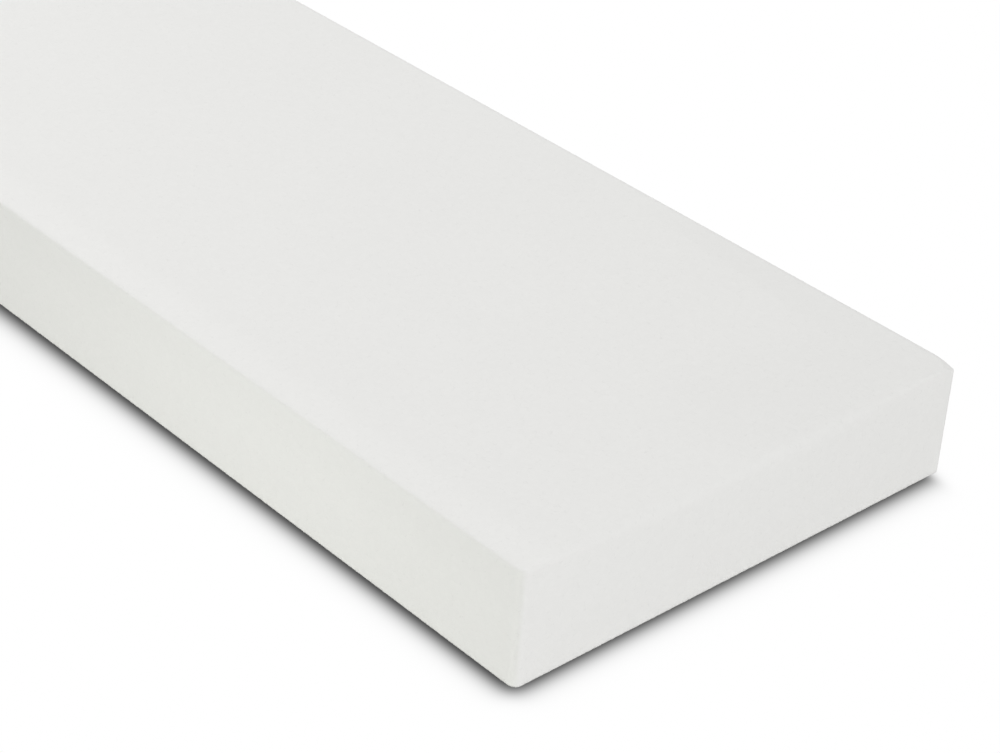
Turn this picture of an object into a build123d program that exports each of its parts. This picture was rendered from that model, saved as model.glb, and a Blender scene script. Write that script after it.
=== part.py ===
"""Expanded polystyrene insulation board, hot-wire cut from a block: one solid, in millimetres.

The board lies flat on Z = 0, centred there, with its length along X and its width along Y.
Its top, its +X end and its long side at -Y are the faces that show wear.
"""

import os

from build123d import *

# Stock size
LENGTH = 1200.0
WIDTH = 450.0
THICKNESS = 100.0

# Edges as cutting and handling leave them
NEAR_UPRIGHT_RADIUS = 7.0  # where the +X end meets the long side at -Y
FAR_UPRIGHT_RADIUS = 2.0  # where the +X end meets the long side at +Y
BACK_UPRIGHT_RADIUS = 3.0  # both upright edges of the -X end
TOP_EDGE_RADIUS = 3.0
BOTTOM_EDGE_RADIUS = 0.5

# The +X end's top edge is rubbed rounder towards the middle of the width.
# The rubbed stretch starts and ends under the plain edge's radius, so it fades out before the corners.
WORN_EDGE_RADIUS = 12.0
FADED_SHARE_OF_TOP_EDGE = 0.8

# The top corner at +X, +Y is knocked off flat, this far back along each of its three edges
KNOCK_ALONG_LENGTH = 18.0
KNOCK_ALONG_WIDTH = 14.0
KNOCK_DOWN = 5.0

end_x = LENGTH / 2
side_y = WIDTH / 2
faded_radius = FADED_SHARE_OF_TOP_EDGE * TOP_EDGE_RADIUS
worn_edge_stations = [
    (-side_y + NEAR_UPRIGHT_RADIUS, faded_radius),
    (0, WORN_EDGE_RADIUS),
    (side_y - FAR_UPRIGHT_RADIUS, faded_radius),
]

# What is rubbed away: at each place across the width, all that lies outside a quarter circle
with BuildPart() as rubbed_away:
    clear_of_board = WORN_EDGE_RADIUS
    for y, radius in worn_edge_stations:
        with BuildSketch(Plane.XZ.offset(-y)):
            with BuildLine():
                outside = Polyline(
                    (end_x - radius, THICKNESS),
                    (end_x - radius, THICKNESS + clear_of_board),
                    (end_x + clear_of_board, THICKNESS + clear_of_board),
                    (end_x + clear_of_board, THICKNESS - radius),
                    (end_x, THICKNESS - radius),
                )
                RadiusArc(outside @ 1, outside @ 0, -radius)
            make_face()
    loft()

# The knocked corner is cut by the plane through one point on each of its edges
knock_on_length = Vector(end_x - KNOCK_ALONG_LENGTH, side_y, THICKNESS)
knock_on_width = Vector(end_x, side_y - KNOCK_ALONG_WIDTH, THICKNESS)
knock_on_upright = Vector(end_x, side_y, THICKNESS - KNOCK_DOWN)
across_knock = knock_on_width - knock_on_length
down_knock = knock_on_upright - knock_on_length
knock_plane = Plane(origin=knock_on_length, x_dir=across_knock, z_dir=across_knock.cross(down_knock))

with BuildPart() as insulation_board:
    with BuildSketch():
        Rectangle(LENGTH, WIDTH)
    extrude(amount=THICKNESS)

    uprights = insulation_board.edges().filter_by(Axis.Z)
    back_uprights, end_uprights = uprights.group_by(Axis.X)
    near_upright, far_upright = end_uprights.sort_by(Axis.Y)
    fillet(near_upright, NEAR_UPRIGHT_RADIUS)
    fillet(far_upright, FAR_UPRIGHT_RADIUS)
    fillet(back_uprights, BACK_UPRIGHT_RADIUS)

    top_face = insulation_board.faces().sort_by(Axis.Z)[-1]
    fillet(top_face.edges(), TOP_EDGE_RADIUS)
    bottom_face = insulation_board.faces().sort_by(Axis.Z)[0]
    fillet(bottom_face.edges(), BOTTOM_EDGE_RADIUS)

    add(rubbed_away.part, mode=Mode.SUBTRACT)
    split(bisect_by=knock_plane, keep=Keep.BOTTOM)

insulation_board.part.label = "insulation_board"

os.makedirs("parts", exist_ok=True)
export_step(insulation_board.part, "parts/insulation_board.step")
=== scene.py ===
"""Looks of the polystyrene insulation board: its foam, the white studio round it and the camera.

Laid out as an add-on with one operator for the board, one for the studio and one for the camera.
Everything is in metres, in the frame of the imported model.
"""

import math

import bpy
import numpy as np
from bpy.props import FloatProperty, FloatVectorProperty, PointerProperty
from bpy.types import Operator, Panel, PropertyGroup
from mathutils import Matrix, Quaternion, Vector
from mathutils.geometry import delaunay_2d_cdt


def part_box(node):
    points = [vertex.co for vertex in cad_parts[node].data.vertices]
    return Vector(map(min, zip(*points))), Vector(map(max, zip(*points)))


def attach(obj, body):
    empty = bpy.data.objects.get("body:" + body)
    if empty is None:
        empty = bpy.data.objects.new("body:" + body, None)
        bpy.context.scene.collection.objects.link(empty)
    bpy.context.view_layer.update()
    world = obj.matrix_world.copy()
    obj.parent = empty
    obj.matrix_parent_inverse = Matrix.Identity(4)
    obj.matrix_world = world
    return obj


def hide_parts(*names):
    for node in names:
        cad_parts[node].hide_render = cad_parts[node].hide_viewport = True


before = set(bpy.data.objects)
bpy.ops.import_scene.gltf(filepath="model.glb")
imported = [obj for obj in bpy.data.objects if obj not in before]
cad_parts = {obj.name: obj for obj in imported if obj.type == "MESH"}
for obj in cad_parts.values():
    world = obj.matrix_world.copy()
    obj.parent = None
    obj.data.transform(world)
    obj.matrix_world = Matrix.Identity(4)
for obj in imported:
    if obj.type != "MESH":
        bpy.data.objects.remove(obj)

bl_info = {
    "name": "Insulation board looks",
    "version": (1, 0, 0),
    "blender": (4, 5, 0),
    "location": "3D View > Sidebar > Insulation board",
    "description": "Makes the foam of a polystyrene board, a white studio and the camera",
    "category": "Object",
}

BOARD_NODE = "insulation_board"

# Name of what the board's vertices tell its material: how worn the foam is there, and how much painted
# shade it gets at the edges
WORN_AND_SHADED = "handled"

cad_low, cad_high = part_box(BOARD_NODE)
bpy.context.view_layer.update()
LENGTH, WIDTH, THICKNESS = cad_high - cad_low
HALF_SIZE = np.array([LENGTH, WIDTH, THICKNESS]) / 2
BOARD_CENTRE = np.array((cad_low + cad_high) / 2)

WHITE = (1, 1, 1, 1)
FLOOR_GAP = 0.0001
SENSOR_WIDTH_MM = 36.0

# Where a Mix node of each kind has its two inputs and its result
MIX_SOCKETS = {"FLOAT": (2, 3, 0), "VECTOR": (4, 5, 1)}

# For each lamp: the setting of its power, its place, the point that it faces, and its width and height
LAMPS = {
    "overhead_lamp": ("over_power", (0.0, 0.0, 2.6), (0.0, 0.0, 0.1), (2.4, 1.6)),
    "left_lamp": ("left_power", (-0.9, -0.5, 1.5), (-0.4, -0.2, 0.1), (1.4, 0.8)),
    "end_lamp": ("end_power", (2.7, -0.9, 0.8), (0.6, -0.05, 0.05), (1.0, 0.8)),
    "side_lamp": ("side_power", (0.31, -0.60, 0.12), (0.31, -0.225, 0.04), (0.30, 0.15)),
}


def number(name, description, default, least=0.0, **more):
    """A number that a user can change, down to its least value."""
    return FloatProperty(name=name, description=description, default=default, min=least, **more)


def distance(name, description, default):
    """A length in metres."""
    return number(name, description, default, unit="LENGTH", subtype="DISTANCE")


def share(name, description, default):
    """A plain number from 0 to 1."""
    return number(name, description, default, max=1.0, subtype="FACTOR")


def power(name, description, default):
    """A lamp's power in watts."""
    return number(name, description, default, unit="POWER")


def angle(name, description, degrees):
    """An angle, given in degrees."""
    kind = {"default": math.radians(degrees), "subtype": "ANGLE", "unit": "ROTATION"}
    return FloatProperty(name=name, description=description, **kind)


def colour(name, description, default):
    """A linear colour."""
    kind = {"size": 3, "min": 0.0, "max": 1.0, "subtype": "COLOR"}
    return FloatVectorProperty(name=name, description=description, default=default, **kind)


def point(name, description, default):
    """A place in metres."""
    kind = {"size": 3, "subtype": "TRANSLATION", "unit": "LENGTH"}
    return FloatVectorProperty(name=name, description=description, default=default, **kind)


class BoardShape(PropertyGroup):
    """Edges, wear and beads of the board. Its length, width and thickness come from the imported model."""

    near_upright_radius: distance("Near upright edge", "Radius of the upright edge at +X, -Y", 0.007)
    far_upright_radius: distance("Far upright edge", "Radius of the upright edge at +X, +Y", 0.002)
    back_upright_radius: distance("Back upright edges", "Radius of both upright edges at -X", 0.003)
    top_edge_radius: distance("Top edges", "Radius of the edges round the top", 0.003)
    bottom_edge_radius: distance("Bottom edges", "Radius of the edges round the underside", 0.0005)
    worn_edge_radius: distance("Worn edge", "Radius of the +X end's top edge in mid-width", 0.012)
    faded_share: share("Faded share", "Share of the top edges' radius where the worn edge fades out", 0.8)
    knock_along_length: distance("Knock along", "Reach of the knocked corner along the length", 0.018)
    knock_along_width: distance("Knock across", "Reach of the knocked corner across the width", 0.014)
    knock_down: distance("Knock down", "Reach of the knocked corner downwards", 0.005)
    knock_softness: distance("Knock softness", "How softly the knocked corner meets the faces", 0.0012)
    edge_spacing: distance("Edge spacing", "Distance between the mesh's points at an edge", 0.0014)
    open_spacing: distance("Open spacing", "Distance between the mesh's points in mid-face", 0.014)
    knock_patch: distance("Knock patch", "Width of the fine part of the mesh at the knocked corner", 0.024)
    bead_size: distance("Bead size", "Width of one bead of the foam", 0.0042)
    crumb_depth: distance("Crumb depth", "Depth of the seams between beads at a handled edge", 0.00018)
    torn_depth: distance("Torn depth", "Depth of the seams between beads in the knocked corner", 0.0004)
    crumb_reach: distance("Crumb reach", "How far from an edge the beads are loosened", 0.0045)
    worn_edge_crumb: share("Worn edge's crumb", "Share of other edges' crumb that the worn edge has", 0.15)
    upright_crumb: share("Uprights' crumb", "Share of other edges' crumb that the uprights have", 0.82)
    # Painted shade on the rounding round the top, where it turns between faces, together with its wear
    rim_wear_and_shade: share("Rim wear", "How handled the rounding round the top is, beside its crumb", 0.55)


class FoamFinish(PropertyGroup):
    """Colour and sheen of the foam, with the light and shade that is painted into that colour."""

    foam_colour: colour("Foam colour", "Colour of a bead's cut face", (0.8635, 0.862, 0.8455))
    # Painted shade and tinted light: the long side at -Y gets a darker, greener copy of the foam colour
    shaded_side_colour: colour("Side colour", "Colour of the yellowed long side at -Y", (0.852, 0.8565, 0.818))
    bead_contrast: share("Bead contrast", "How much lighter or darker one bead is than the next", 0.012)
    seam_darkness: share("Seam darkness", "How dark the seams between beads are", 0.012)
    # Painted shade in the small gaps where beads meet, which also sink in the bump
    gap_painted_shade: share("Gap darkness", "How dark the gaps are where beads meet", 0.035)
    cloud_contrast: share("Cloud contrast", "How much the foam's tone drifts over the board", 0.010)
    # The edges are greyer partly from wear and partly from painted shade, which dims their highlights
    edge_wear_and_shade: share("Edge darkness", "How much greyer the handled edges are", 0.055)
    # Painted light: the top is lighter in a band along its -Y edge
    painted_light_band: share("Fresh band", "How much lighter the top is along its -Y edge", 0.020)
    painted_band_reach: distance("Fresh reach", "How far from that edge the band starts to fade", 0.018)
    painted_band_fade: distance("Fresh fade", "Length over which the band fades", 0.027)
    # Painted shade: the top is darker near the knocked corner and along the +Y edge
    corner_painted_shade: share("Greyed corner", "How much greyer the top is near the knocked corner", 0.016)
    corner_shade_along: distance("Greyed along", "How far that reaches along the length", 0.06)
    corner_shade_across: distance("Greyed across", "How far it reaches across the width", 0.165)
    corner_shade_fade: distance("Greyed fade", "Length over which it fades", 0.10)
    corner_shade_strip: distance("Greyed strip", "How much further it reaches along the +Y edge", 0.18)
    # Painted light: the foam is lighter near the floor, which evens out the shade there
    foot_painted_light: share("Foot light", "How much lighter the foam is at the floor", 0.034)
    foot_fade: distance("Foot fade", "Height over which that falls to about a third", 0.014)
    # Painted shade: the long side at -Y is darker towards its top
    side_painted_shade: share("Greyed side", "How much greyer the long side at -Y is near its top", 0.0135)
    bead_relief: distance("Bead relief", "Height of the relief that the beads give a cut face", 0.00002)
    roughness: share("Roughness", "Roughness of a cut face", 0.62)


class StudioSettings(PropertyGroup):
    """Floor, contact shadow, lamps and camera."""

    floor_colour: colour("Floor colour", "Colour that the floor reflects", (0.7, 0.7, 0.7))
    floor_reach: distance("Floor reach", "Half the floor's width", 30.0)
    sky_level: number("Sky level", "Strength of the even light from all round", 0.665)
    horizon_level: number("Horizon level", "How much stronger that light is at the horizon", 0.85)
    over_power: power("Overhead lamp", "Soft lamp straight above the board", 5.1)
    left_power: power("Left lamp", "Soft lamp above the board's -X end, on the -Y side", 3.66)
    end_power: power("End lamp", "Soft lamp off the +X end", 8.15)
    side_power: power("Side lamp", "Small low lamp near the long side at -Y", 0.13)
    shadow_reach_side: distance("Shadow past the sides", "How far out it is at half strength", 0.0036)
    shadow_reach_end: distance("Shadow past the ends", "How far out it is at half strength", 0.0019)
    shadow_softness: distance("Shadow softness", "Length over which the contact shadow fades", 0.0050)
    shadow_widening: number("Shadow widening", "Growth for each metre from the corner at +X, -Y", 0.33)
    drawn_in_length: distance("Drawn-in length", "Length of the +Y side's shadowless stretch at +X", 0.033)
    drawn_in_fade: distance("Drawn-in fade", "Length over which that side's shadow comes back", 0.050)
    drawn_in_depth: distance("Drawn-in depth", "How far inside the board it is at half strength", 0.0100)
    drawn_in_softness: distance("Drawn-in softness", "Length over which the shadow fades there", 0.0032)
    camera_azimuth: angle("Camera azimuth", "Angle round the board, from -Y towards +X", 46.561)
    camera_elevation: angle("Camera elevation", "Angle above the floor", 31.880)
    camera_roll: angle("Camera roll", "Turn of the camera about its own line of sight", 3.698)
    camera_distance: distance("Camera distance", "Distance from the camera to its aim", 2.1027)
    camera_aim: point("Camera aim", "The point that the camera looks at", (0.345, -0.016, 0.05))
    camera_lens: number("Camera lens", "Focal length on a 36 mm sensor", 96.195, least=1.0, unit="CAMERA")


def inset_rows(width, height, depth, spacing):
    """Points round a rectangle of width by height that is drawn in by depth on each side."""
    wide, high = width - 2 * depth, height - 2 * depth
    columns = max(1, round(wide / spacing))
    rows = max(1, round(high / spacing))
    u = np.linspace(0, wide, columns + 1) + depth
    v = np.linspace(0, high, rows + 1)[1:-1] + depth
    low_row = np.stack([u, np.full_like(u, depth)], 1)
    high_row = np.stack([u, np.full_like(u, height - depth)], 1)
    left_row = np.stack([np.full_like(v, depth), v], 1)
    right_row = np.stack([np.full_like(v, width - depth), v], 1)
    return np.concatenate([low_row, high_row, left_row, right_row])


def face_net(width, height, edge_spacing, open_spacing, patch):
    """Points and triangles over a rectangle, fine along its sides and in a patch at its far corner."""
    growth = 1.35
    fine_rows = 6
    depth = step = edge_spacing
    points = [inset_rows(width, height, 0.0, edge_spacing)]
    row = 1
    while depth < min(width, height) / 2 - step / 2 and step < open_spacing:
        points.append(inset_rows(width, height, depth, step))
        if row >= fine_rows:
            step *= growth
        depth += step
        row += 1
    rows_inside = max(1, round((height - 2 * depth) / open_spacing))
    if height - 2 * depth > step:
        for i, v in enumerate(np.linspace(depth, height - depth, rows_inside + 1)):
            shift = open_spacing / 4 * (1 if i % 2 else -1)
            u = np.arange(depth + open_spacing / 2, width - depth - open_spacing / 4, open_spacing) + shift
            points.append(np.stack([u, np.full_like(u, v)], 1))
    points = np.concatenate(points)
    if patch:
        far_corner = np.array([width, height])
        inside = ((points > edge_spacing / 2) & (points < far_corner - edge_spacing / 2)).all(1)
        in_patch = (points > far_corner - patch).all(1)
        points = points[~(inside & in_patch)]
        steps = np.arange(1, patch / edge_spacing) * edge_spacing
        patch_u, patch_v = np.meshgrid(width - steps, height - steps)
        points = np.concatenate([points, np.stack([patch_u.ravel(), patch_v.ravel()], 1)])
    triangles_of_hull, same_point = 0, 1e-7
    made = delaunay_2d_cdt([Vector(p) for p in points], [], [], triangles_of_hull, same_point)
    return np.array(made[0]), np.array(made[2])


def box_net(shape):
    """The board as a plain box of triangles: points and triangles, with no point twice."""
    points, triangles, count = [], [], 0
    for normal_axis in range(3):
        u_axis, v_axis = (normal_axis + 1) % 3, (normal_axis + 2) % 3
        for side in (1, -1):
            # The knocked corner is the far corner of the faces at +X, at +Y and on top
            patch = shape.knock_patch if side == 1 else 0
            sizes = 2 * HALF_SIZE[u_axis], 2 * HALF_SIZE[v_axis]
            flat, faces = face_net(*sizes, shape.edge_spacing, shape.open_spacing, patch)
            face_points = np.empty((len(flat), 3))
            face_points[:, u_axis] = flat[:, 0] - HALF_SIZE[u_axis]
            face_points[:, v_axis] = flat[:, 1] - HALF_SIZE[v_axis]
            face_points[:, normal_axis] = side * HALF_SIZE[normal_axis]
            points.append(face_points)
            triangles.append((faces if side == 1 else faces[:, ::-1]) + count)
            count += len(flat)
    points, triangles = np.concatenate(points), np.concatenate(triangles)
    same_point = 1e-6
    cells = np.round(points / same_point).astype(np.int64)
    _, first, index = np.unique(cells, axis=0, return_index=True, return_inverse=True)
    return points[first] + BOARD_CENTRE, index.reshape(-1)[triangles]


def pull_round(across, along):
    """Where a point of a square corner goes when the corner is drawn in to a quarter circle.

    across and along run from the circle's centre, and only points where both are positive move.
    """
    inside = (across > 0) & (along > 0)
    reach = np.hypot(across, along)
    square = np.maximum(across, along)
    factor = np.where(inside, square / np.where(inside, reach, 1), 1)
    return across * factor, along * factor


def upright_radii(shape, x, y):
    """Radius of the upright edge nearest to each place."""
    at_end = np.where(y < 0, shape.near_upright_radius, shape.far_upright_radius)
    return np.where(x > 0, at_end, shape.back_upright_radius)


def top_rim_radii(shape, x, y):
    """Radius of the top edge nearest to each place.

    The +X end's grows to the worn radius in mid-width, along a parabola as in the solid.
    """
    faded = shape.faded_share * shape.top_edge_radius
    start = -WIDTH / 2 + shape.near_upright_radius
    stop = WIDTH / 2 - shape.far_upright_radius
    share_of_start = y * (y - stop) / (start * (start - stop))
    share_of_stop = y * (y - start) / (stop * (stop - start))
    through_faded = faded * (share_of_start + share_of_stop)
    through_worn = shape.worn_edge_radius * (y - start) * (y - stop) / (start * stop)
    worn = through_faded + through_worn
    on_worn_stretch = (y > start) & (y < stop) & (LENGTH / 2 - x < 2 * shape.worn_edge_radius)
    return np.where(on_worn_stretch, np.maximum(worn, shape.top_edge_radius), shape.top_edge_radius)


def round_uprights(shape, points):
    """Draws in the four upright edges.

    Gives the new points, how deep each one is inside the outline, and its way inwards.
    """
    x, y = points[:, 0], points[:, 1]
    radius = upright_radii(shape, x, y)
    sign_x, sign_y = np.sign(x), np.sign(y)
    past_x = np.abs(x) - (LENGTH / 2 - radius)
    past_y = np.abs(y) - (WIDTH / 2 - radius)
    new_x, new_y = pull_round(past_x, past_y)
    in_corner = (past_x > 0) & (past_y > 0)
    reach = np.hypot(new_x, new_y)
    depth_x, depth_y = radius - new_x, radius - new_y
    depth = np.where(in_corner, radius - reach, np.minimum(depth_x, depth_y))
    safe_reach = np.where(in_corner, reach, 1)
    inward_x = np.where(in_corner, -new_x / safe_reach, np.where(depth_x < depth_y, -1, 0)) * sign_x
    inward_y = np.where(in_corner, -new_y / safe_reach, np.where(depth_x < depth_y, 0, -1)) * sign_y
    moved = points.copy()
    moved[:, 0] = sign_x * (LENGTH / 2 - radius + new_x)
    moved[:, 1] = sign_y * (WIDTH / 2 - radius + new_y)
    return moved, depth, np.stack([inward_x, inward_y], 1)


def round_rim(points, depth, inward, height_depth, upwards, radius):
    """Draws in the edge between the outline and the top or the underside, in place.

    upwards is -1 for the top, which is drawn downwards, and 1 for the underside.
    Gives how far each point is turned between the two faces, from 0 on either to 1 half-way.
    """
    across, along = radius - depth, radius - height_depth
    new_across, new_along = pull_round(across, along)
    points[:, :2] += inward * (across - new_across)[:, None]
    points[:, 2] += upwards * (along - new_along)
    in_round = (across > 0) & (along > 0)
    return np.where(in_round, 2 * across * along / np.where(in_round, across**2 + along**2, 1), 0)


def knock_plane(shape):
    """A point of the plane that cuts the knocked corner, and its outward normal."""
    corner = np.array([LENGTH / 2, WIDTH / 2, THICKNESS])
    on_length = corner - [shape.knock_along_length, 0, 0]
    on_width = corner - [0, shape.knock_along_width, 0]
    on_upright = corner - [0, 0, shape.knock_down]
    normal = np.cross(on_width - on_length, on_upright - on_length)
    return on_length, normal / np.linalg.norm(normal)


def hash_cells(cells, salt):
    """An even random number from 0 to 1 for each whole-number cell, the same every time."""
    # Large odd numbers, which spread each cell's bits
    for_cells, for_salt = np.array([73856093, 19349663, 83492791]), 2654435761
    rounds = ((13, 1274126177), (16, 2246822519))
    all_bits, kept_bits = 32, 24
    mask = (1 << all_bits) - 1
    mixed = (cells.astype(np.int64) * for_cells).sum(1) + salt * for_salt
    for shift, multiplier in rounds:
        mixed = (mixed ^ (mixed >> shift)) * multiplier & mask
    return (mixed >> (all_bits - kept_bits)) / float(1 << kept_bits)


def bead_seams(points, bead_size):
    """How near each point is to a seam between beads, from 0 at a bead's middle to 1 in the seam."""
    seam_width, far_away = 0.45, 9.0
    scaled = points / bead_size
    base = np.floor(scaled)
    nearest = np.full(len(points), far_away)
    second = np.full(len(points), far_away)
    for neighbour in np.ndindex(3, 3, 3):
        cell = base + np.array(neighbour) - 1
        centre = cell + np.stack([hash_cells(cell, salt) for salt in (1, 2, 3)], 1)
        gap = np.linalg.norm(scaled - centre, axis=1)
        second = np.minimum(second, np.maximum(gap, nearest))
        nearest = np.minimum(nearest, gap)
    seam = np.clip(1 - (second - nearest) / seam_width, 0, 1)
    return seam * seam * (3 - 2 * seam)


def edge_looseness(shape, box_points):
    """How loosened the foam is at each point: 1 on a long edge, less on the others, and 0 in the open."""
    from_ends, from_sides, from_faces = (HALF_SIZE - np.abs(box_points - BOARD_CENTRE)).T
    at_worn_end = (box_points[:, 0] > 0) & (box_points[:, 2] > THICKNESS / 2)
    end_share = np.where(at_worn_end, shape.worn_edge_crumb, 1)

    def near(first, second):
        """1 on the edge between two faces, falling to 0 away from it, given the depths under both."""
        return np.exp(-((np.maximum(first, second) / shape.crumb_reach) ** 2))

    along_ends = near(from_ends, from_faces) * end_share
    along_uprights = near(from_ends, from_sides) * shape.upright_crumb
    return np.maximum.reduce([near(from_sides, from_faces), along_uprights, along_ends])


def foam_surface(shape):
    """The worn board's surface: points, triangles, each point's depth of crumb, and its wear and painted
    shade.
    """
    untouched_depth, worn_and_shaded_where_torn = 0.02, 0.6
    box_points, triangles = box_net(shape)
    points, depth, inward = round_uprights(shape, box_points)
    top_radii = top_rim_radii(shape, points[:, 0], points[:, 1])
    turned = round_rim(points, depth, inward, THICKNESS - box_points[:, 2], -1, top_radii)
    round_rim(points, depth, inward, box_points[:, 2], 1, np.full(len(points), shape.bottom_edge_radius))

    place, normal = knock_plane(shape)
    proud = (points - place) @ normal
    cut = (proud + np.hypot(proud, shape.knock_softness)) / 2
    points -= np.outer(cut, normal) * (proud > -untouched_depth)[:, None]

    looseness = edge_looseness(shape, box_points)
    torn = np.clip(proud / shape.knock_softness, 0, 1)
    crumb = shape.crumb_depth * looseness * (1 - torn) + shape.torn_depth * torn
    above_foot = np.clip(box_points[:, 2] / shape.crumb_reach - 1, 0, 1)
    # Darker edges: wear where the beads are loose, and painted shade on the rounding where it turns
    # between faces
    at_edges = np.maximum(looseness**2, worn_and_shaded_where_torn * torn) * above_foot
    handled = at_edges + shape.rim_wear_and_shade * turned * (1 - torn)
    return points, triangles, crumb * bead_seams(points, shape.bead_size), handled


def mesh_object(name, points, faces):
    """A smooth-shaded mesh object."""
    mesh = bpy.data.meshes.new(name)
    mesh.from_pydata(points.tolist(), [], faces.tolist())
    mesh.polygons.foreach_set("use_smooth", [True] * len(mesh.polygons))
    mesh.update()
    made = bpy.data.objects.new(name, mesh)
    bpy.context.scene.collection.objects.link(made)
    return made


def store_on_vertices(mesh, name, values):
    """Keeps one number for each vertex, which the material reads by its name."""
    mesh.attributes.new(name, "FLOAT", "POINT").data.foreach_set("value", values.astype(np.float32))


def sink_vertices(mesh, depths):
    """Moves each vertex inwards, against its normal."""
    places = np.empty(len(mesh.vertices) * 3)
    mesh.vertices.foreach_get("co", places)
    normals = np.empty(len(mesh.vertices) * 3)
    mesh.vertex_normals.foreach_get("vector", normals)
    mesh.vertices.foreach_set("co", places - normals * np.repeat(depths, 3))
    mesh.update()


class NodeDesk:
    """Adds nodes to one node tree and links them."""

    def __init__(self, tree):
        self.tree = tree
        tree.nodes.clear()

    def add(self, kind, inputs=None, **settings):
        """A node of that kind. Each input is a value, or an output that is linked to it."""
        node = self.tree.nodes.new(kind)
        for key, value in settings.items():
            setattr(node, key, value)
        for key, value in (inputs or {}).items():
            if isinstance(value, bpy.types.NodeSocket):
                self.tree.links.new(value, node.inputs[key])
            else:
                node.inputs[key].default_value = value
        return node

    def math(self, operation, first, second=0.0):
        """The output of one sum."""
        return self.add("ShaderNodeMath", {0: first, 1: second}, operation=operation).outputs[0]

    def scaled(self, vector, scale):
        """A vector or colour, multiplied by scale."""
        return self.add("ShaderNodeVectorMath", {0: vector, "Scale": scale}, operation="SCALE").outputs[0]

    def blend(self, amount, first, second, kind="FLOAT"):
        """The first where amount is 0 and the second where it is 1, as single values or as vectors."""
        at_first, at_second, at_result = MIX_SOCKETS[kind]
        inputs = {0: amount, at_first: first, at_second: second}
        return self.add("ShaderNodeMix", inputs, data_type=kind).outputs[at_result]

    def noise(self, place, scale, **more):
        """The outputs of soft noise, with scale swells to the metre."""
        return self.add("ShaderNodeTexNoise", {"Vector": place, "Scale": scale, **more}).outputs

    def band(self, value, low, high, to_low=0.0, to_high=1.0, curve="SMOOTHSTEP"):
        """value, carried from one range to another along the curve, and held beyond both ends."""
        inputs = {"Value": value, "From Min": low, "From Max": high, "To Min": to_low, "To Max": to_high}
        return self.add("ShaderNodeMapRange", inputs, interpolation_type=curve).outputs["Result"]


def bead_pattern(desk, place, bead_size):
    """The beads: how far the nearest seam is, three random numbers for each, and the gaps between them.

    Widths and reaches are counted in beads, and swells of noise are counted for each bead.
    """
    wander_swells, wander_reach = 0.35, 0.35
    gap_swells, gap_width = 1.1, 0.13
    gap_starts, gap_is_full = 0.60, 0.66
    per_metre = 1 / bead_size
    wander = desk.noise(place, wander_swells * per_metre, Detail=1.0)["Color"]
    bent = desk.scaled(wander, wander_reach * bead_size)
    beads_at = desk.add("ShaderNodeVectorMath", {0: place, 1: bent}, operation="ADD").outputs[0]
    cells = {"Vector": beads_at, "Scale": per_metre}
    beads = desk.add("ShaderNodeTexVoronoi", cells, feature="F1").outputs["Color"]
    to_seam = desk.add("ShaderNodeTexVoronoi", cells, feature="DISTANCE_TO_EDGE").outputs["Distance"]
    randoms = desk.add("ShaderNodeSeparateColor", {"Color": beads}).outputs
    gaps_here = desk.noise(place, gap_swells * per_metre, Detail=2.0)["Fac"]
    near_seam = desk.band(to_seam, 0.0, gap_width, 1.0, 0.0)
    gap = desk.math("MULTIPLY", near_seam, desk.band(gaps_here, gap_starts, gap_is_full))
    return to_seam, randoms, gap


def painted_shade_near_corner(desk, x, y, finish):
    """Painted shade on the top near the knocked corner, which runs on along the +Y edge."""
    strip_from, strip_full = WIDTH / 2 - 0.05, WIDTH / 2 - 0.02
    corner_x, corner_y = LENGTH / 2 - finish.corner_shade_along, WIDTH / 2 - finish.corner_shade_across
    further = desk.band(y, strip_from, strip_full, 0.0, finish.corner_shade_strip)
    along = desk.math("ADD", x, further)
    near_end = desk.band(along, corner_x - finish.corner_shade_fade, corner_x, 0.0, finish.corner_painted_shade)
    return desk.math("MULTIPLY", near_end, desk.band(y, corner_y - finish.corner_shade_fade, corner_y))


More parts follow.
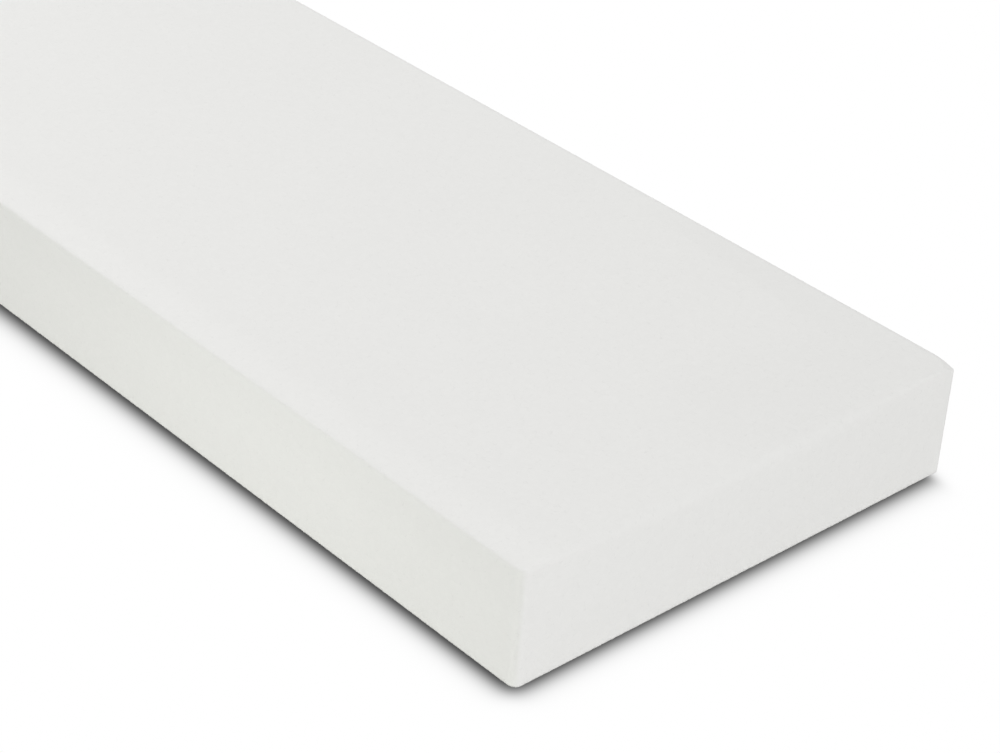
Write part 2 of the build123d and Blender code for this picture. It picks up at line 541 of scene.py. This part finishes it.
def foam_tone(desk, place, normal, on_shaded_side, beads, finish):
    """How light the foam is at each place, where 1 is its plain colour, with painted light and shade in
    it.
    """
    seam_width, clouds_per_metre = 0.07, 7.0
    too_steep, flat_enough = 0.6, 0.95
    side_shade_from, side_shade_fullest_at = THICKNESS / 2, 0.9 * THICKNESS
    to_seam, randoms, gap = beads
    bead_tone = desk.math("MULTIPLY", desk.math("SUBTRACT", randoms[0], 0.5), finish.bead_contrast)
    cloud = desk.noise(place, clouds_per_metre, Detail=3.0, Roughness=0.6)["Fac"]
    cloud_tone = desk.math("MULTIPLY", desk.math("SUBTRACT", cloud, 0.5), 2 * finish.cloud_contrast)
    seam = desk.band(to_seam, 0.0, seam_width, 1.0, 0.0)

    x, y, z = desk.add("ShaderNodeSeparateXYZ", {0: place}).outputs
    # Painted light in a band along the top's -Y edge, less the painted shade near the knocked corner
    painted_band_end = finish.painted_band_reach + finish.painted_band_fade
    from_edge = desk.math("ADD", y, WIDTH / 2)
    painted_band = desk.band(from_edge, finish.painted_band_reach, painted_band_end, finish.painted_light_band, 0.0)
    on_top = desk.band(normal["Z"], too_steep, flat_enough)
    painted_light_and_shade = desk.math("SUBTRACT", painted_band, painted_shade_near_corner(desk, x, y, finish))
    top_tone = desk.math("MULTIPLY", painted_light_and_shade, on_top)
    # Painted light, lighter towards the floor, which evens out the shade there
    foot = desk.math("EXPONENT", desk.math("DIVIDE", z, -finish.foot_fade))
    foot_painted_light_tone = desk.math("MULTIPLY", foot, finish.foot_painted_light)
    # Painted shade on the -Y side, darker towards its top
    side_shade = desk.band(z, side_shade_from, side_shade_fullest_at, 0.0, finish.side_painted_shade)
    # Wear and painted shade at the edges, stored on the vertices
    handled = desk.add("ShaderNodeAttribute", attribute_name=WORN_AND_SHADED).outputs["Fac"]

    tone = desk.math("ADD", desk.math("ADD", bead_tone, cloud_tone), desk.math("ADD", top_tone, 1.0))
    tone = desk.math("ADD", tone, foot_painted_light_tone)
    for darker, amount in (
        (seam, finish.seam_darkness),
        (gap, finish.gap_painted_shade),
        (handled, finish.edge_wear_and_shade),
        (side_shade, on_shaded_side),
    ):
        tone = desk.math("SUBTRACT", tone, desk.math("MULTIPLY", darker, amount))
    return tone


def foam_material(shape, finish):
    """Fused beads, cut flat by a hot wire: bead tones, thin seams, small gaps where beads meet."""
    material = bpy.data.materials.new("expanded_polystyrene_foam")
    material.use_nodes = True
    desk = NodeDesk(material.node_tree)
    place = desk.add("ShaderNodeTexCoord").outputs["Object"]
    facing = desk.add("ShaderNodeTexCoord").outputs["Normal"]
    normal = desk.add("ShaderNodeSeparateXYZ", {0: facing}).outputs
    beads = bead_pattern(desk, place, shape.bead_size)

    # The long side at -Y is painted darker and greener, as a shaded, tinted copy of the foam colour
    side_is_full, side_stops = -0.9, -0.2
    on_shaded_side = desk.band(normal["Y"], side_is_full, side_stops, 1.0, 0.0)
    plain = desk.blend(on_shaded_side, tuple(finish.foam_colour), tuple(finish.shaded_side_colour), "VECTOR")
    tinted = desk.scaled(plain, foam_tone(desk, place, normal, on_shaded_side, beads, finish))

    # Each bead stands up as a low dome of its own height and sheen
    dome_width, lowest_dome, gap_depth, sheen_spread = 0.25, 0.7, 0.8, 0.08
    to_seam, randoms, gap = beads
    dome_height = desk.band(randoms[1], 0.0, 1.0, lowest_dome, 1.0)
    dome = desk.math("MULTIPLY", desk.band(to_seam, 0.0, dome_width), dome_height)
    height = desk.math("SUBTRACT", dome, desk.math("MULTIPLY", gap, gap_depth))
    relief = {"Height": height, "Distance": finish.bead_relief, "Strength": 1.0}
    bump = desk.add("ShaderNodeBump", relief).outputs["Normal"]
    smoothest, roughest = finish.roughness - sheen_spread, finish.roughness + sheen_spread
    sheen = desk.band(randoms[2], 0.0, 1.0, smoothest, roughest)
    inputs = {"Base Color": tinted, "Roughness": sheen, "Normal": bump, "Specular IOR Level": 0.3}
    foam = desk.add("ShaderNodeBsdfPrincipled", inputs)
    desk.add("ShaderNodeOutputMaterial", {"Surface": foam.outputs["BSDF"]})
    return material


def lit_or_seen(desk, lit, seen):
    """Shows seen to the camera, straight, mirrored or through glass, and gives lit to all other light."""
    path = desk.add("ShaderNodeLightPath").outputs
    either = desk.math("MAXIMUM", path["Is Camera Ray"], path["Is Glossy Ray"])
    in_sight = desk.math("MAXIMUM", either, path["Is Transmission Ray"])
    inputs = {0: in_sight, 1: lit.outputs[0], 2: seen.outputs[0]}
    return desk.add("ShaderNodeMixShader", inputs).outputs[0]


def fading(desk, way_out, half_size, reach, softness, widening=1.0):
    """How strong the contact shadow is, from 1 under the board to 0, going out over one of its sides.

    way_out is the distance from the board's middle towards that side, and widening stretches the shadow.
    """
    most_steps = 40.0
    from_foot = desk.math("DIVIDE", desk.math("SUBTRACT", way_out, half_size), widening)
    outside = desk.math("SUBTRACT", from_foot, reach)
    steps = desk.math("MINIMUM", desk.math("DIVIDE", outside, softness), most_steps)
    return desk.math("DIVIDE", 1.0, desk.math("ADD", desk.math("EXPONENT", steps), 1.0))


def floor_material(studio):
    """A white floor with a narrow contact shadow round the board's foot."""
    material = bpy.data.materials.new("white_floor")
    material.use_nodes = True
    desk = NodeDesk(material.node_tree)
    place = desk.add("ShaderNodeTexCoord").outputs["Object"]
    x, y, _ = desk.add("ShaderNodeSeparateXYZ", {0: place}).outputs
    back_x, back_y = (desk.math("MULTIPLY", way, -1.0) for way in (x, y))
    widest_x, widest_y = 1 + studio.shadow_widening * LENGTH, 1 + studio.shadow_widening * WIDTH
    wider_along = desk.band(x, -LENGTH / 2, LENGTH / 2, widest_x, 1.0, curve="LINEAR")
    wider_across = desk.band(y, -WIDTH / 2, WIDTH / 2, 1.0, widest_y, curve="LINEAR")
    past_ends = LENGTH / 2, studio.shadow_reach_end, studio.shadow_softness, wider_across
    past_sides = WIDTH / 2, studio.shadow_reach_side, studio.shadow_softness, wider_along

    # Along the +Y side the shadow is drawn in under the board near the +X end
    drawn_in = fading(desk, y, WIDTH / 2, -studio.drawn_in_depth, studio.drawn_in_softness)
    full_from = LENGTH / 2 - studio.drawn_in_length
    near_corner = desk.band(x, full_from - studio.drawn_in_fade, full_from)
    past_far_side = desk.blend(near_corner, fading(desk, y, *past_sides), drawn_in)

    shadow = fading(desk, x, *past_ends)
    for side in (fading(desk, back_x, *past_ends), fading(desk, back_y, *past_sides), past_far_side):
        shadow = desk.math("MULTIPLY", shadow, side)
    shown_as_light = 2.2
    white = desk.math("POWER", desk.math("SUBTRACT", 1.0, shadow), shown_as_light)
    seen = desk.add("ShaderNodeEmission", {"Color": WHITE, "Strength": white})
    lit = desk.add("ShaderNodeBsdfDiffuse", {"Color": (*studio.floor_colour, 1)})
    desk.add("ShaderNodeOutputMaterial", {"Surface": lit_or_seen(desk, lit, seen)})
    return material


def set_sky(studio):
    """Soft light from all round, stronger towards the horizon, and plain white where it is seen itself."""
    horizon_sharpness = 3.0
    world = bpy.data.worlds.new("white_studio")
    bpy.context.scene.world = world
    world.use_nodes = True
    desk = NodeDesk(world.node_tree)
    way = desk.add("ShaderNodeTexCoord").outputs["Generated"]
    height = desk.add("ShaderNodeSeparateXYZ", {0: way}).outputs["Z"]
    lowness = desk.math("SUBTRACT", 1.0, desk.math("ABSOLUTE", height))
    horizon = desk.math("POWER", lowness, horizon_sharpness)
    strength = desk.math("ADD", desk.math("MULTIPLY", horizon, studio.horizon_level), studio.sky_level)
    light = desk.add("ShaderNodeBackground", {"Color": WHITE, "Strength": strength})
    white = desk.add("ShaderNodeBackground", {"Color": WHITE, "Strength": 1.0})
    desk.add("ShaderNodeOutputWorld", {"Surface": lit_or_seen(desk, light, white)})


def softbox(name, place, aim, size, watts):
    """A flat soft lamp that faces its aim."""
    lamp = bpy.data.lights.new(name, "AREA")
    lamp.shape = "RECTANGLE"
    lamp.size, lamp.size_y = size
    lamp.energy = watts
    holder = bpy.data.objects.new(name, lamp)
    holder.location = place
    holder.rotation_mode = "QUATERNION"
    holder.rotation_quaternion = (Vector(aim) - Vector(place)).to_track_quat("-Z", "Y")
    holder.visible_camera = False
    bpy.context.scene.collection.objects.link(holder)


class INSULATIONBOARD_OT_make_board(Operator):
    """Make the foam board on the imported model: rounded and worn edges, beads and finish"""

    bl_idname = "insulation_board.make_board"
    bl_label = "Make the foam board"

    def execute(self, context):
        shape, finish = context.scene.board_shape, context.scene.foam_finish
        points, triangles, depths, handled = foam_surface(shape)
        board = mesh_object("foam_board", points, triangles)
        sink_vertices(board.data, depths)
        store_on_vertices(board.data, WORN_AND_SHADED, handled)
        board.data.materials.append(foam_material(shape, finish))
        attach(board, "root")
        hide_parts(BOARD_NODE)
        return {"FINISHED"}


class INSULATIONBOARD_OT_set_studio(Operator):
    """Lay the white floor and set the lamps and the even light round the board"""

    bl_idname = "insulation_board.set_studio"
    bl_label = "Set the studio"

    def execute(self, context):
        studio = context.scene.studio_settings
        corners = studio.floor_reach * np.array([(-1, -1, 0), (1, -1, 0), (1, 1, 0), (-1, 1, 0)])
        floor = mesh_object("floor", corners, np.array([(0, 1, 2, 3)]))
        floor.location.z = cad_low.z - FLOOR_GAP
        floor.data.materials.append(floor_material(studio))
        set_sky(studio)
        for name, (setting, place, aim, size) in LAMPS.items():
            softbox(name, place, aim, size, getattr(studio, setting))
        context.scene.view_settings.view_transform = "Standard"
        return {"FINISHED"}


class INSULATIONBOARD_OT_place_camera(Operator):
    """Place the camera above the near corner, looking along the board"""

    bl_idname = "insulation_board.place_camera"
    bl_label = "Place the camera"

    def execute(self, context):
        studio = context.scene.studio_settings
        azimuth, elevation = studio.camera_azimuth, studio.camera_elevation
        flat = math.cos(elevation)
        back = Vector((math.sin(azimuth) * flat, -math.cos(azimuth) * flat, math.sin(elevation)))
        camera = bpy.data.objects.new("camera", bpy.data.cameras.new("camera"))
        camera.data.sensor_width = SENSOR_WIDTH_MM
        camera.data.lens = studio.camera_lens
        camera.rotation_mode = "QUATERNION"
        upright = (-back).to_track_quat("-Z", "Y")
        camera.rotation_quaternion = upright @ Quaternion((0, 0, 1), studio.camera_roll)
        camera.location = Vector(studio.camera_aim) + back * studio.camera_distance
        context.scene.collection.objects.link(camera)
        context.scene.camera = camera
        return {"FINISHED"}


class INSULATIONBOARD_PT_sidebar(Panel):
    """Buttons and settings in the 3D view's sidebar"""

    bl_label = "Insulation board"
    bl_idname = "INSULATIONBOARD_PT_sidebar"
    bl_space_type = "VIEW_3D"
    bl_region_type = "UI"
    bl_category = "Insulation board"

    def draw(self, context):
        layout = self.layout
        for operator in OPERATORS:
            layout.operator(operator.bl_idname)
        for name, group in GROUPS.items():
            box = layout.box()
            for setting in group.__annotations__:
                box.prop(getattr(context.scene, name), setting)


OPERATORS = (INSULATIONBOARD_OT_make_board, INSULATIONBOARD_OT_set_studio, INSULATIONBOARD_OT_place_camera)
GROUPS = {"board_shape": BoardShape, "foam_finish": FoamFinish, "studio_settings": StudioSettings}
CLASSES = (*GROUPS.values(), *OPERATORS, INSULATIONBOARD_PT_sidebar)


def register():
    for cls in CLASSES:
        bpy.utils.register_class(cls)
    for name, group in GROUPS.items():
        setattr(bpy.types.Scene, name, PointerProperty(type=group))


def unregister():
    for name in GROUPS:
        delattr(bpy.types.Scene, name)
    for cls in reversed(CLASSES):
        bpy.utils.unregister_class(cls)


def main():
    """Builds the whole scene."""
    register()
    bpy.ops.insulation_board.make_board()
    bpy.ops.insulation_board.set_studio()
    bpy.ops.insulation_board.place_camera()
    bpy.context.view_layer.update()


if __name__ == "__main__":
    main()
